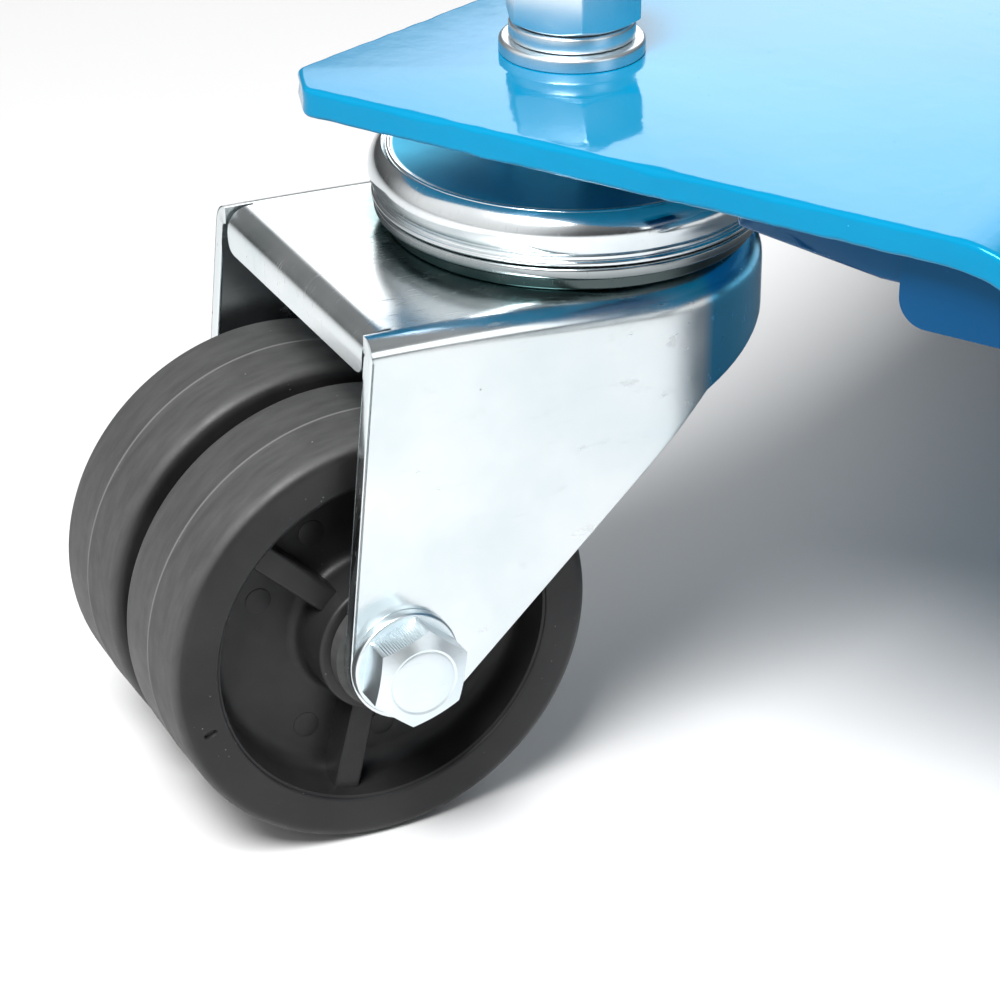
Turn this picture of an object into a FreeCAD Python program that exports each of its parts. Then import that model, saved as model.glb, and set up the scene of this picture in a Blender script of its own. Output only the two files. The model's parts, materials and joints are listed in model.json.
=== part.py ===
"""Car wheel dolly: a formed steel deck with a tyre cradle, carried by four twin-wheel swivel castors.

Row frame: X along the deck, Y across it, Z up. The origin is on the floor under the middle of the deck.
Each castor is drawn in its own frame, with the kingpin on Z and the axle along Y at X = -trail, and is
then turned by its swing and moved to its corner of the deck.
"""
import FreeCAD, Part
import os

import Sketcher
from FreeCAD import Placement, Rotation, Vector

SIZES = {
    # deck
    "deck_half_length": 204.1,
    "deck_half_width": 152.5,
    "deck_thickness": 5.0,
    "deck_top": 124.8,
    "corner_clip": 7.5,
    "end_taper": 8.7,
    "end_taper_run": 80.0,
    "kingpin_inset_x": 34.6,
    "kingpin_inset_y": 38.5,
    "kingpin_hole_radius": 7.5,
    # cradle formed in the middle of the deck
    "cradle_depth": 28.0,
    "cradle_angle": 28.0,
    "cradle_half_width": 76.5,
    "shoulder_radius": 23.0,
    "floor_radius": 25.0,
    # side rails
    "rail_setback": 5.0,
    "rail_thickness": 5.0,
    "rail_depth": 13.1,
    "rail_half_length": 92.4,
    "rail_corner_radius": 4.5,
    "rail_shoulder": 71.0,
    "rail_shoulder_radius": 12.0,
    "rail_floor_depth": 8.0,
    "foot_thickness": 7.1,
    "foot_depth": 24.0,
    "foot_tip": 124.0,
    "foot_taper_end": 96.0,
    "foot_taper": 6.5,
    "foot_inner_end": 90.4,
    "foot_setback": 5.9,
    # castor
    "swing": 58.0,
    "trail": 46.7,
    "axle_height": 37.5,
    "fork_top": 95.0,
    "fork_half_width": 32.5,
    "fork_sheet": 3.0,
    "fork_rear": 51.0,
    "leg_rear_rake": 4.9,
    "leg_front_slope": 43.7,
    "leg_foot_radius": 11.4,
    "leg_point_height": 8.2,
    "skirt_turn_x": 9.8,
    "skirt_nose_height": 81.5,
    "lip_drop": 7.5,
    "lip_slit": 0.8,
    # swivel race
    "race_radius": 33.2,
    "race_foot_radius": 31.4,
    "race_foot_height": 2.3,
    "race_bulge_radius": 34.0,
    "race_bulge_height": 6.4,
    "race_inner_radius": 20.0,
    "lower_race_height": 4.7,
    "race_gap": 0.4,
    "cup_top": 108.9,
    "cup_roof": 3.0,
    "ball_radius": 3.0,
    "ball_track_clearance": 0.3,
    "ball_pitch_radius": 26.5,
    # kingpin and its fasteners
    "kingpin_radius": 7.0,
    "kingpin_neck_radius": 9.0,
    "kingpin_head_radius": 13.0,
    "kingpin_head_height": 5.0,
    "kingpin_play": 0.3,
    "kingpin_top": 147.0,
    "kingpin_chamfer": 1.2,
    "running_clearance": 0.05,
    "nut_flats": 21.0,
    "nut_height": 12.8,
    "nut_turn": 8.3,
    "clamp_nut_height": 8.0,
    "clamp_washer_radius": 14.0,
    "flat_washer_radius": 12.15,
    "flat_washer_thickness": 2.5,
    "spring_washer_radius": 10.55,
    "spring_washer_thickness": 3.0,
    "spring_washer_split": 1.5,
    # axle
    "axle_radius": 5.0,
    "axle_flats": 15.2,
    "axle_head_height": 6.4,
    "axle_nut_height": 8.4,
    "axle_washer_radius": 9.2,
    "axle_washer_thickness": 2.0,
    "axle_end": 45.5,
    "hex_turn": 20.0,
    "thrust_washer_radius": 10.5,
    "thrust_washer_play": 0.2,
    # wheels
    "wheel_radius": 37.5,
    "wheel_half_width": 11.8,
    "wheel_shoulder": 2.2,
    "wheel_centre": 14.15,
    "rim_inner_radius": 29.6,
    "rim_draft": 1.2,
    "web_half": 3.5,
    "hub_radius": 12.3,
    "hub_half_length": 12.75,
    "bush_radius": 7.0,
    "rib_width": 4.5,
    "rib_recess": 2.5,
    "rib_turn": 17.0,
}

# name of the corner, its side of the deck along X and along Y, and the turn of its castor
CORNERS = (
    ("front_left", -1, -1, "swing"),
    ("front_right", 1, -1, "180 - swing"),
    ("rear_left", -1, 1, "-1 * swing"),
    ("rear_right", 1, 1, "180 + swing"),
)
RIB_COUNT = 3
BALL_COUNT = 20
X_AXIS = Vector(1, 0, 0)
Z_AXIS = Vector(0, 0, 1)

doc = FreeCAD.newDocument("WheelDolly")
sheet = doc.addObject("Spreadsheet::Sheet", "Sizes")
for row, (size_name, size_value) in enumerate(SIZES.items(), start=1):
    sheet.set(f"A{row}", size_name)
    sheet.set(f"B{row}", str(size_value))
    sheet.setAlias(f"B{row}", size_name)
doc.recompute()

sub_parts = []


# ---------------------------------------------------------------- expressions

def bound(expression):
    """The expression with each size's name written as a reference to the sheet."""
    text = ""
    word = ""
    for letter in str(expression) + " ":
        if letter.isalnum() or letter in "_.":
            word += letter
        else:
            text += (f"Sizes.{word}" if word in SIZES else word) + letter
            word = ""
    return text.strip()


def value(expression):
    """What an expression comes to with the sheet's present sizes."""
    return float(sheet.evalExpression(bound(expression)))


def bind(item, **expressions):
    """Bind properties of an object to the sheet; x, y and z are its position, turn its angle."""
    paths = {"x": "Placement.Base.x", "y": "Placement.Base.y", "z": "Placement.Base.z",
             "turn": "Placement.Rotation.Angle"}
    for key, expression in expressions.items():
        item.setExpression(paths.get(key, key), bound(expression))
    return item


def keep(item, label):
    """Name a finished sub-part and list it for export."""
    item.Label = label
    sub_parts.append(item)
    return item


# ---------------------------------------------------------------- primitives and booleans

def box(name, length, width, height, **position):
    return bind(doc.addObject("Part::Box", name), Length=length, Width=width, Height=height, **position)


def upright(kind, name, along_y):
    """A new primitive whose own axis is Z, or Y for what sits on the axle."""
    item = doc.addObject(kind, name)
    if along_y:
        item.Placement = Placement(Vector(), Rotation(X_AXIS, -90))
    return item


def cylinder(name, radius, height, along_y=False, **position):
    return bind(upright("Part::Cylinder", name, along_y), Radius=radius, Height=height, **position)


def hexagon(name, flats, height, along_y=False, **position):
    """A hexagonal prism, turned about its own axis as the fasteners there are."""
    item = upright("Part::Prism", name, along_y)
    item.Polygon = 6
    spin = Rotation(Z_AXIS, value("-1 * hex_turn" if along_y else "nut_turn"))
    item.Placement = Placement(Vector(), item.Placement.Rotation.multiply(spin))
    return bind(item, Circumradius=f"{flats} / 2 / cos(30)", Height=height, **position)


def ring(name, outer, inner, height, along_y=False, **position):
    disc = cylinder(f"{name}_disc", outer, height, along_y, **position)
    bore = cylinder(f"{name}_bore", inner, height, along_y, **position)
    return cut(name, disc, bore)


def fuse(name, items):
    item = doc.addObject("Part::MultiFuse", name)
    item.Shapes = items
    return item


def common(name, items):
    item = doc.addObject("Part::MultiCommon", name)
    item.Shapes = items
    return item


def cut(name, base, *tools):
    """Take each of the tools away from the base."""
    for number, tool in enumerate(tools):
        item = doc.addObject("Part::Cut", f"{name}_cut_{number}")
        item.Base = base
        item.Tool = tool
        base = item
    return base


def group(name, items):
    """Separate solids that make one sub-part."""
    item = doc.addObject("Part::Compound", name)
    item.Links = items
    return item


# ---------------------------------------------------------------- sketched bodies

def sketch_outline(body, plane_role, corners):
    """A closed outline on one of the body's planes, each corner held by two bound distances."""
    sketch = body.newObject("Sketcher::SketchObject", f"{body.Name}_outline")
    plane = next(item for item in body.Origin.OriginFeatures if item.Role == plane_role)
    sketch.AttachmentSupport = [(plane, "")]
    sketch.MapMode = "FlatFace"
    places = [(value(across), value(up)) for across, up in corners]
    count = len(corners)
    for number in range(count):
        start = Vector(*places[number], 0)
        end = Vector(*places[(number + 1) % count], 0)
        sketch.addGeometry(Part.LineSegment(start, end), False)
    for number in range(count):
        sketch.addConstraint(Sketcher.Constraint("Coincident", number, 2, (number + 1) % count, 1))
    for number, corner in enumerate(corners):
        for kind, place, size in zip(("DistanceX", "DistanceY"), places[number], corner):
            index = sketch.addConstraint(Sketcher.Constraint(kind, -1, 1, number, 1, place))
            sketch.setExpression(f"Constraints[{index}]", bound(size))
    return sketch


def padded(name, plane_role, corners, length):
    """A body padded from an outline, equally to both sides of its plane."""
    body = doc.addObject("PartDesign::Body", name)
    pad = body.newObject("PartDesign::Pad", f"{name}_pad")
    pad.Profile = sketch_outline(body, plane_role, corners)
    pad.Midplane = True
    bind(pad, Length=length)
    body.Tip = pad
    doc.recompute()
    return body


def turned(name, corners):
    """A body turned about Z from half of its section, given as radius and height."""
    body = doc.addObject("PartDesign::Body", name)
    revolution = body.newObject("PartDesign::Revolution", f"{name}_turning")
    sketch = sketch_outline(body, "XZ_Plane", corners)
    revolution.Profile = sketch
    revolution.ReferenceAxis = (sketch, ["V_Axis"])
    body.Tip = revolution
    doc.recompute()
    return body


def round_edges(body, label, radius, chosen):
    """Round the edges of the body's tip for which chosen(edge) is true."""
    tip = body.Tip
    names = [f"Edge{n}" for n, edge in enumerate(tip.Shape.Edges, start=1) if chosen(edge)]
    fillet = body.newObject("PartDesign::Fillet", f"{body.Name}_{label}")
    fillet.Base = (tip, names)
    bind(fillet, Radius=radius)
    body.Tip = fillet
    doc.recompute()
    return body


def crosswise_near(x_size, z_size):
    """Chooses the edges along Y that pass near a place in the XZ plane, on either side of X = 0."""
    x_place = value(x_size)
    z_place = value(z_size)

    def chosen(edge):
        start, end = (vertex.Point for vertex in edge.Vertexes)
        along_y = abs(start.x - end.x) + abs(start.z - end.z) < 0.01
        return along_y and abs(abs(start.x) - abs(x_place)) < 0.2 and abs(start.z - z_place) < 0.2

    return chosen


def sheet_level(depth):
    """The line at a depth below the deck's top that follows the sheet down through the cradle."""
    shift = f"({depth}) * tan(cradle_angle / 2)"
    return {
        "shoulder": f"cradle_half_width + {shift}",
        "wing_height": f"deck_top - ({depth})",
        "shoulder_radius": f"shoulder_radius - ({depth})",
        "floor": f"cradle_half_width - cradle_depth / tan(cradle_angle) + {shift}",
        "floor_height": f"deck_top - cradle_depth - ({depth})",
        "floor_radius": f"floor_radius + ({depth})",
    }


def rail_level():
    """The lower edge of a side rail: deep under the wings, and shallower under the cradle's slopes."""
    wing_height = "deck_top - deck_thickness - rail_depth"
    floor_height = "deck_top - cradle_depth - deck_thickness - rail_floor_depth"
    return {
        "shoulder": "rail_shoulder",
        "wing_height": wing_height,
        "shoulder_radius": "rail_shoulder_radius",
        "floor": f"rail_shoulder - ({wing_height} - ({floor_height})) / tan(cradle_angle)",
        "floor_height": floor_height,
        "floor_radius": "floor_radius + deck_thickness",
    }


def formed_strip(name, top, bottom, half_length, width):
    """A strip between two levels, each of which bends down at the shoulders and level at the floor."""
    def right_half(level):
        return [(half_length, level["wing_height"]), (level["shoulder"], level["wing_height"]),
                (level["floor"], level["floor_height"])]

    def left_half(level):
        return [(f"-1 * ({across})", up) for across, up in right_half(level)]

    outline = left_half(top) + right_half(top)[::-1] + right_half(bottom) + left_half(bottom)[::-1]
    body = padded(name, "XZ_Plane", outline, width)
    for level in (top, bottom):
        round_edges(body, f"shoulder_{len(body.Group)}", level["shoulder_radius"],
                    crosswise_near(level["shoulder"], level["wing_height"]))
        round_edges(body, f"floor_{len(body.Group)}", level["floor_radius"],
                    crosswise_near(level["floor"], level["floor_height"]))
    return body


# ---------------------------------------------------------------- deck

def quarter_to_outline(quarter):
    """A whole outline from its corners in the X > 0, Y > 0 quarter, listed from X side to Y side."""
    outline = list(quarter)
    outline += [(f"-1 * ({x})", y) for x, y in reversed(quarter)]
    outline += [(f"-1 * ({x})", f"-1 * ({y})") for x, y in quarter]
    outline += [(x, f"-1 * ({y})") for x, y in reversed(quarter)]
    return outline


def at_corners(name, make):
    """The same piece at each of the four kingpins; make(name, x, y) builds one."""
    pieces = []
    for corner, side_x, side_y, _ in CORNERS:
        x = f"{side_x} * (deck_half_length - kingpin_inset_x)"
        y = f"{side_y} * (deck_half_width - kingpin_inset_y)"
        pieces.append(make(f"{name}_{corner}", x, y))
    return pieces


def make_deck():
    sheet_body = formed_strip("formed_sheet", sheet_level("0"), sheet_level("deck_thickness"),
                              "deck_half_length", "2 * deck_half_width")
    end_waist = "deck_half_length - end_taper_run * sin(end_taper)"
    waist_y = "deck_half_width - end_taper_run * cos(end_taper)"
    clip_x = "deck_half_length - corner_clip * sin(end_taper)"
    clip_y = "deck_half_width - corner_clip * cos(end_taper)"
    quarter = [(end_waist, waist_y), (clip_x, clip_y),
               ("deck_half_length - corner_clip", "deck_half_width")]
    blank = padded("deck_blank", "XY_Plane", quarter_to_outline(quarter), "4 * deck_top")
    trimmed = common("trimmed_sheet", [sheet_body, blank])
    holes = at_corners("deck_hole", lambda name, x, y: cylinder(
        name, "kingpin_hole_radius", "2 * deck_thickness", x=x, y=y,
        z="deck_top - 1.5 * deck_thickness"))
    keep(cut("deck_plate", trimmed, fuse("deck_holes", holes)), "deck_plate")


def make_rail(label, side):
    """A side rail: a web that follows the cradle and a tapered foot under each wing of the deck."""
    bottom = rail_level()
    web = formed_strip(f"{label}_web", sheet_level("deck_thickness"), bottom, "rail_half_length",
                       "rail_thickness")
    round_edges(web, "corners", "rail_corner_radius",
                crosswise_near("rail_half_length", bottom["wing_height"]))
    bind(web, y=f"{side} * (deck_half_width - rail_setback - rail_thickness / 2)")
    feet = []
    for end in (-1, 1):
        front = "deck_half_width - foot_setback"
        outline = [("foot_inner_end", front), ("foot_taper_end", front),
                   ("foot_tip", "deck_half_width - foot_setback - foot_taper"),
                   ("foot_tip", "deck_half_width - foot_depth"),
                   ("foot_inner_end", "deck_half_width - foot_depth")]
        outline = [(f"{end} * ({x})", f"{side} * ({y})") for x, y in outline]
        name = f"{label}_foot_{'left' if end < 0 else 'right'}"
        foot = padded(name, "XY_Plane", outline, "foot_thickness")
        feet.append(bind(foot, z="deck_top - deck_thickness - foot_thickness / 2"))
    keep(fuse(f"{label}_fused", [web] + feet), label)


def make_kingpin(name, x, y):
    """The stud that the castor turns on: a head under the fork, a neck in the race, a thread above."""
    neck_foot = "fork_top - fork_sheet - kingpin_play"
    outline = [("0", f"{neck_foot} - kingpin_head_height"),
               ("kingpin_head_radius", f"{neck_foot} - kingpin_head_height"),
               ("kingpin_head_radius", neck_foot), ("kingpin_neck_radius", neck_foot),
               ("kingpin_neck_radius", "cup_top - cup_roof - running_clearance"),
               ("kingpin_radius", "cup_top - cup_roof - running_clearance"),
               ("kingpin_radius", "kingpin_top - kingpin_chamfer"),
               ("kingpin_radius - kingpin_chamfer", "kingpin_top"), ("0", "kingpin_top")]
    return bind(turned(name, outline), x=x, y=y)


def make_upper_race(name, x, y):
    """The bulged cup over the balls, clamped to the deck and standing still."""
    foot = "fork_top + lower_race_height + race_gap"
    bore = "kingpin_radius + running_clearance"
    outline = [(bore, "cup_top"), ("race_foot_radius", "cup_top"),
               ("race_bulge_radius", f"{foot} + race_bulge_height"),
               ("race_bulge_radius", f"{foot} + race_bulge_height / 3"), ("race_radius", foot),
               ("race_inner_radius", foot), ("race_inner_radius", "cup_top - cup_roof"),
               (bore, "cup_top - cup_roof")]
    cup = turned(f"{name}_turned", outline)
    return bind(cut(name, cup, ball_track(name)), x=x, y=y)


def ball_track(name):
    """The round groove that the balls run in."""
    track = doc.addObject("Part::Torus", f"{name}_track")
    return bind(track, Radius1="ball_pitch_radius", Radius2="ball_radius + ball_track_clearance",
                z="fork_top + lower_race_height + race_gap / 2")


def stacked_ring(outer, bottom, thickness):
    """Builds a washer on the kingpin, from its radius, its underside's height and its thickness."""
    return lambda name, x, y: ring(name, outer, "kingpin_radius + running_clearance", thickness,
                                   x=x, y=y, z=bottom)


def stacked_nut(bottom, height):
    """Builds a nut on the kingpin, from its underside's height and its own height."""
    def make(name, x, y):
        block = hexagon(f"{name}_hex", "nut_flats", height, x=x, y=y, z=bottom)
        bore = cylinder(f"{name}_bore", "kingpin_radius + running_clearance", height, x=x, y=y, z=bottom)
        return cut(name, block, bore)
    return make


def make_spring_washer(name, x, y):
    """A washer split on one side."""
    bottom = "deck_top + flat_washer_thickness"
    make_whole = stacked_ring("spring_washer_radius", bottom, "spring_washer_thickness")
    whole = make_whole(f"{name}_whole", x, y)
    split = box(f"{name}_split", "2 * spring_washer_radius", "spring_washer_split",
                "spring_washer_thickness", x=x, y=f"{y} - spring_washer_split / 2", z=bottom)
    return cut(name, whole, split)


def make_fasteners():
    clamp_washer_bottom = "cup_top + clamp_nut_height"
    spring_top = "deck_top + flat_washer_thickness + spring_washer_thickness"
    stack = {
        "kingpins": make_kingpin,
        "upper_race_cups": make_upper_race,
        "clamp_nuts": stacked_nut("cup_top", "clamp_nut_height"),
        "clamp_washers": stacked_ring("clamp_washer_radius", clamp_washer_bottom,
                                      f"deck_top - deck_thickness - ({clamp_washer_bottom})"),
        "flat_washers": stacked_ring("flat_washer_radius", "deck_top", "flat_washer_thickness"),
        "spring_washers": make_spring_washer,
        "kingpin_nuts": stacked_nut(spring_top, "nut_height"),
    }
    for label, make in stack.items():
        keep(group(f"{label}_group", at_corners(label, make)), label)


# ---------------------------------------------------------------- castor

def make_fork(name):
    """A pressed fork: flat top, rounded nose with a skirt, two legs, and a short lip bent down behind."""
    rear = "-1 * fork_rear"
    foot_x = f"{rear} - (fork_top - leg_point_height) * tan(leg_rear_rake)"
    turn_height = f"leg_point_height + (skirt_turn_x - ({foot_x})) * tan(leg_front_slope)"
    side_outline = [(rear, "fork_top"), ("fork_half_width", "fork_top"),
                    ("fork_half_width", "skirt_nose_height"), ("skirt_turn_x", turn_height),
                    (foot_x, "leg_point_height")]
    sides = padded(f"{name}_sides", "XZ_Plane", side_outline, "2 * fork_half_width")
    round_edges(sides, "leg_feet", "leg_foot_radius", crosswise_near(*side_outline[-1]))
    outer = d_prism(f"{name}_outer", "fork_half_width", "fork_top")
    inner = d_prism(f"{name}_inner", "fork_half_width - fork_sheet", "fork_top - fork_sheet")
    hollow = cut(f"{name}_shell", common(f"{name}_solid", [sides, outer]), inner)
    lip = box(f"{name}_lip", "fork_sheet", "2 * (fork_half_width - fork_sheet - lip_slit)", "lip_drop",
              x=rear, y="-1 * (fork_half_width - fork_sheet - lip_slit)", z="fork_top - lip_drop")
    kingpin_hole = cylinder(f"{name}_hole", "kingpin_neck_radius + running_clearance", "3 * fork_sheet",
                            z="fork_top - 2 * fork_sheet")
    axle_hole = cylinder(f"{name}_axle_hole", "axle_radius + running_clearance", "4 * fork_half_width",
                         True, x="-1 * trail", y="-2 * fork_half_width", z="axle_height")
    return cut(name, fuse(f"{name}_pressed", [hollow, lip]), kingpin_hole, axle_hole)


def d_prism(name, half_width, height):
    """An upright prism that is square behind the kingpin and round in front of it."""
    back = box(f"{name}_back", "2 * fork_rear", f"2 * ({half_width})", height,
               x="-2 * fork_rear", y=f"-1 * ({half_width})")
    return fuse(name, [back, cylinder(f"{name}_nose", half_width, height)])


def make_lower_race(name):
    outline = [("race_inner_radius", "fork_top"), ("race_foot_radius", "fork_top"),
               ("race_foot_radius", "fork_top + race_foot_height"),
               ("race_radius", "fork_top + race_foot_height"),
               ("race_radius", "fork_top + lower_race_height"),
               ("race_inner_radius", "fork_top + lower_race_height")]
    return cut(name, turned(f"{name}_turned", outline), ball_track(name))


def make_balls(name):
    balls = []
    for number in range(BALL_COUNT):
        angle = 360 / BALL_COUNT * number
        ball = doc.addObject("Part::Sphere", f"{name}_{number}")
        balls.append(bind(ball, Radius="ball_radius", x=f"ball_pitch_radius * cos({angle})",
                          y=f"ball_pitch_radius * sin({angle})",
                          z="fork_top + lower_race_height + race_gap / 2"))
    return group(name, balls)


def on_axle(make, name, *sizes, start):
    """A primitive round the axle, from start along Y."""
    return make(name, *sizes, True, x="-1 * trail", y=start, z="axle_height")


def make_axle_bolt(name):
    head_seat = "(fork_half_width + axle_washer_thickness)"
    head = on_axle(hexagon, f"{name}_head", "axle_flats", "axle_head_height",
                   start=f"-1 * ({head_seat} + axle_head_height)")
    shank = on_axle(cylinder, f"{name}_shank", "axle_radius", f"{head_seat} + axle_end",
                    start=f"-1 * {head_seat}")
    return fuse(name, [head, shank])


def make_axle_nut(name):
    seat = "fork_half_width + axle_washer_thickness"
    block = on_axle(hexagon, f"{name}_hex", "axle_flats", "axle_nut_height", start=seat)
    bore = on_axle(cylinder, f"{name}_bore", "axle_radius + running_clearance", "axle_nut_height",
                   start=seat)
    return cut(name, block, bore)


def axle_ring(name, outer, thickness, start):
    return on_axle(ring, name, outer, "axle_radius + running_clearance", thickness, start=start)


def make_axle_washers(name):
    starts = {"head": "-1 * (fork_half_width + axle_washer_thickness)", "nut": "fork_half_width"}
    return group(name, [axle_ring(f"{name}_{end}", "axle_washer_radius", "axle_washer_thickness", start)
                        for end, start in starts.items()])


def make_thrust_washers(name):
    """Spacers beside and between the hubs; each hub keeps a little end play."""
    leg = "(fork_half_width - fork_sheet)"
    hub_end = "(wheel_centre + hub_half_length)"
    side_thickness = f"{leg} - {hub_end} - thrust_washer_play"
    middle_half = "(wheel_centre - hub_half_length - thrust_washer_play)"
    places = {
        "near": (side_thickness, f"-1 * {leg}"),
        "middle": (f"2 * {middle_half}", f"-1 * {middle_half}"),
        "far": (side_thickness, f"{hub_end} + thrust_washer_play"),
    }
    return group(name, [axle_ring(f"{name}_{place}", "thrust_washer_radius", thickness, start)
                        for place, (thickness, start) in places.items()])


def make_wheel(name, side):
    """A moulded wheel: a solid rim and hub joined by a thin web, with ribs on both faces."""
    half = [("bush_radius", "hub_half_length"), ("hub_radius", "hub_half_length"),
            ("hub_radius + rim_draft", "web_half"), ("rim_inner_radius - rim_draft", "web_half"),
            ("rim_inner_radius", "wheel_half_width"),
            ("wheel_radius - wheel_shoulder", "wheel_half_width"),
            ("wheel_radius", "wheel_half_width - wheel_shoulder")]
    outline = half + [(radius, f"-1 * ({along})") for radius, along in reversed(half)]
    blank = turned(f"{name}_blank", outline)
    ribs = []
    for number in range(RIB_COUNT):
        rib = doc.addObject("Part::Box", f"{name}_rib_{number}")
        spoke = Rotation(Z_AXIS, 360 / RIB_COUNT * number - value("rib_turn"))
        start = Vector(value("hub_radius"), value("-1 * rib_width / 2"),
                       value("rib_recess - wheel_half_width"))
        rib.Placement = Placement(spoke.multVec(start), spoke)
        ribs.append(bind(rib, Length="rim_inner_radius - hub_radius", Width="rib_width",
                         Height="2 * (wheel_half_width - rib_recess)"))
    wheel = fuse(name, [blank] + ribs)
    wheel.Placement = Placement(Vector(), Rotation(X_AXIS, -90))
    return bind(wheel, x="-1 * trail", y=f"{side} * wheel_centre", z="axle_height")


def make_bush(name, side):
    return on_axle(ring, name, "bush_radius", "axle_radius + running_clearance", "2 * hub_half_length",
                   start=f"{side} * wheel_centre - hub_half_length")


def make_castor(corner, side_x, side_y, turn):
    """All the pieces of one castor, each turned by the swing and moved to the castor's corner."""
    makers = {
        "fork": make_fork,
        "lower_race": make_lower_race,
        "race_balls": make_balls,
        "axle_bolt": make_axle_bolt,
        "axle_nut": make_axle_nut,
        "axle_washers": make_axle_washers,
        "thrust_washers": make_thrust_washers,
        "near_wheel": lambda name: make_wheel(name, -1),
        "far_wheel": lambda name: make_wheel(name, 1),
        "near_bush": lambda name: make_bush(name, -1),
        "far_bush": lambda name: make_bush(name, 1),
    }
    for piece, make in makers.items():
        label = f"{piece}_{corner}"
        holder = group(f"{label}_placed", [make(f"{label}_drawn")])
        holder.Placement = Placement(Vector(), Rotation(Z_AXIS, 1))
        bind(holder, turn=turn, x=f"{side_x} * (deck_half_length - kingpin_inset_x)",
             y=f"{side_y} * (deck_half_width - kingpin_inset_y)")
        keep(holder, label)


make_deck()
make_rail("front_side_rail", -1)
make_rail("rear_side_rail", 1)
make_fasteners()
for castor in CORNERS:
    make_castor(*castor)
doc.recompute()

for item in doc.Objects:
    if "Invalid" in item.State or "Error" in item.State:
        raise RuntimeError(f"{item.Label} did not build: {item.State}")
for part in sub_parts:
    if part.Shape.isNull() or not part.Shape.isValid():
        raise RuntimeError(f"{part.Label} has no valid shape")

os.makedirs("parts", exist_ok=True)
for part in sub_parts:
    part.Shape.exportStep(f"parts/{part.Label}.step")
    print(f"{part.Label}: {len(part.Shape.Solids)} solids, {part.Shape.Volume:.0f} mm3")
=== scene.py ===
"""Looks of the car wheel dolly: painted deck, zinc-plated castors and moulded wheels round the CAD frame.

Lengths in the pieces are in millimetres; MM turns them into the frame's metres.
"""

import json
from math import asin, atan, atan2, ceil, cos, degrees, pi, radians, sin, sqrt, tan, tau

import bmesh
import bpy
from mathutils import Matrix, Vector, noise


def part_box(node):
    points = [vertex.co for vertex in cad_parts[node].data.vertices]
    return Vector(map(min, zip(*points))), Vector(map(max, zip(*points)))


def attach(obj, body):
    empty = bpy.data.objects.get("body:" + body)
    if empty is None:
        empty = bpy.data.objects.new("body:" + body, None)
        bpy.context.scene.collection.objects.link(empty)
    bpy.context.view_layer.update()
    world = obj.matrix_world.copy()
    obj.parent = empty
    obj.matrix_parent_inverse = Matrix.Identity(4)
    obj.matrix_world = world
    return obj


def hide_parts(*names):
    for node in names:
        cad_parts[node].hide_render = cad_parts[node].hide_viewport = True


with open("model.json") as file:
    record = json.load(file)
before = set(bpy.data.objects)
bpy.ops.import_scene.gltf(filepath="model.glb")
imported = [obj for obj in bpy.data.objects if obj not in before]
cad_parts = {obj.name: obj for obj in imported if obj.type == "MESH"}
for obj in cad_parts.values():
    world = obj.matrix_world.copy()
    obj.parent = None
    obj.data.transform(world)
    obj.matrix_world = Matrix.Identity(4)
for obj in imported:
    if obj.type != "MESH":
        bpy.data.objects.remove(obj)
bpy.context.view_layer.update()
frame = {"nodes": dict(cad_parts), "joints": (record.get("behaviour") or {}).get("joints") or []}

MM = 0.001


# ---- places, read from the frame

def joint(name):
    """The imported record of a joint."""
    return next(item for item in frame["joints"] if item["name"] == name)


def top_of(node):
    """Highest Z of a CAD node, in millimetres."""
    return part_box(node)[1].z / MM


def bottom_of(node):
    """Lowest Z of a CAD node, in millimetres."""
    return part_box(node)[0].z / MM


CORNERS = ("front_left", "front_right", "rear_left", "rear_right")
DECK_TOP = top_of("deck_plate")
DECK_HALF_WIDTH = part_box("deck_plate")[1].y / MM
KINGPIN_X, KINGPIN_Y, _ = joint("swivel_rear_right")["pos_m"]
CUP_TOP = top_of("upper_race_cups")
CUP_FOOT = bottom_of("upper_race_cups")
LOWER_RACE_TOP = top_of("lower_race_front_left")
FORK_TOP = bottom_of("lower_race_front_left")
AXLE_HEIGHT = joint("spin_near_front_left")["pos_m"][2] / MM
WHEEL_RADIUS = AXLE_HEIGHT


def castor_axes(corner):
    """The kingpin's place, the castor's heading and its trail, from two joints of that corner."""
    kingpin = Vector(joint(f"swivel_{corner}")["pos_m"])
    axle = Vector(joint(f"spin_near_{corner}")["pos_m"])
    forward = kingpin - axle
    return kingpin, atan2(forward.y, forward.x), Vector((forward.x, forward.y)).length / MM


TRAIL = castor_axes("front_left")[2]


def kingpin_matrix(corner, height=0):
    """From a piece turned about Z to its kingpin, at a height."""
    kingpin = castor_axes(corner)[0]
    return Matrix.Translation((kingpin.x, kingpin.y, height * MM))


def castor_matrix(corner):
    """From a castor's own frame (kingpin on Z, wheels trailing along -X) to the row frame."""
    return kingpin_matrix(corner) @ Matrix.Rotation(castor_axes(corner)[1], 4, "Z")


# ---- mesh helpers

def add_object(name, data, place=None):
    """An object in the scene, with its mesh, lamp or camera data."""
    item = bpy.data.objects.new(name, data)
    bpy.context.scene.collection.objects.link(item)
    if place is not None:
        item.matrix_world = place
    return item


def make_object(name, verts, faces, smooth_angle=35):
    """An object from vertices in millimetres, with edges sharper than smooth_angle left crisp."""
    mesh = bpy.data.meshes.new(name)
    mesh.from_pydata([[c * MM for c in v] for v in verts], [], faces)
    mesh.validate()
    item = add_object(name, mesh)
    tidy_normals(item, smooth_angle)
    return item


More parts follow.
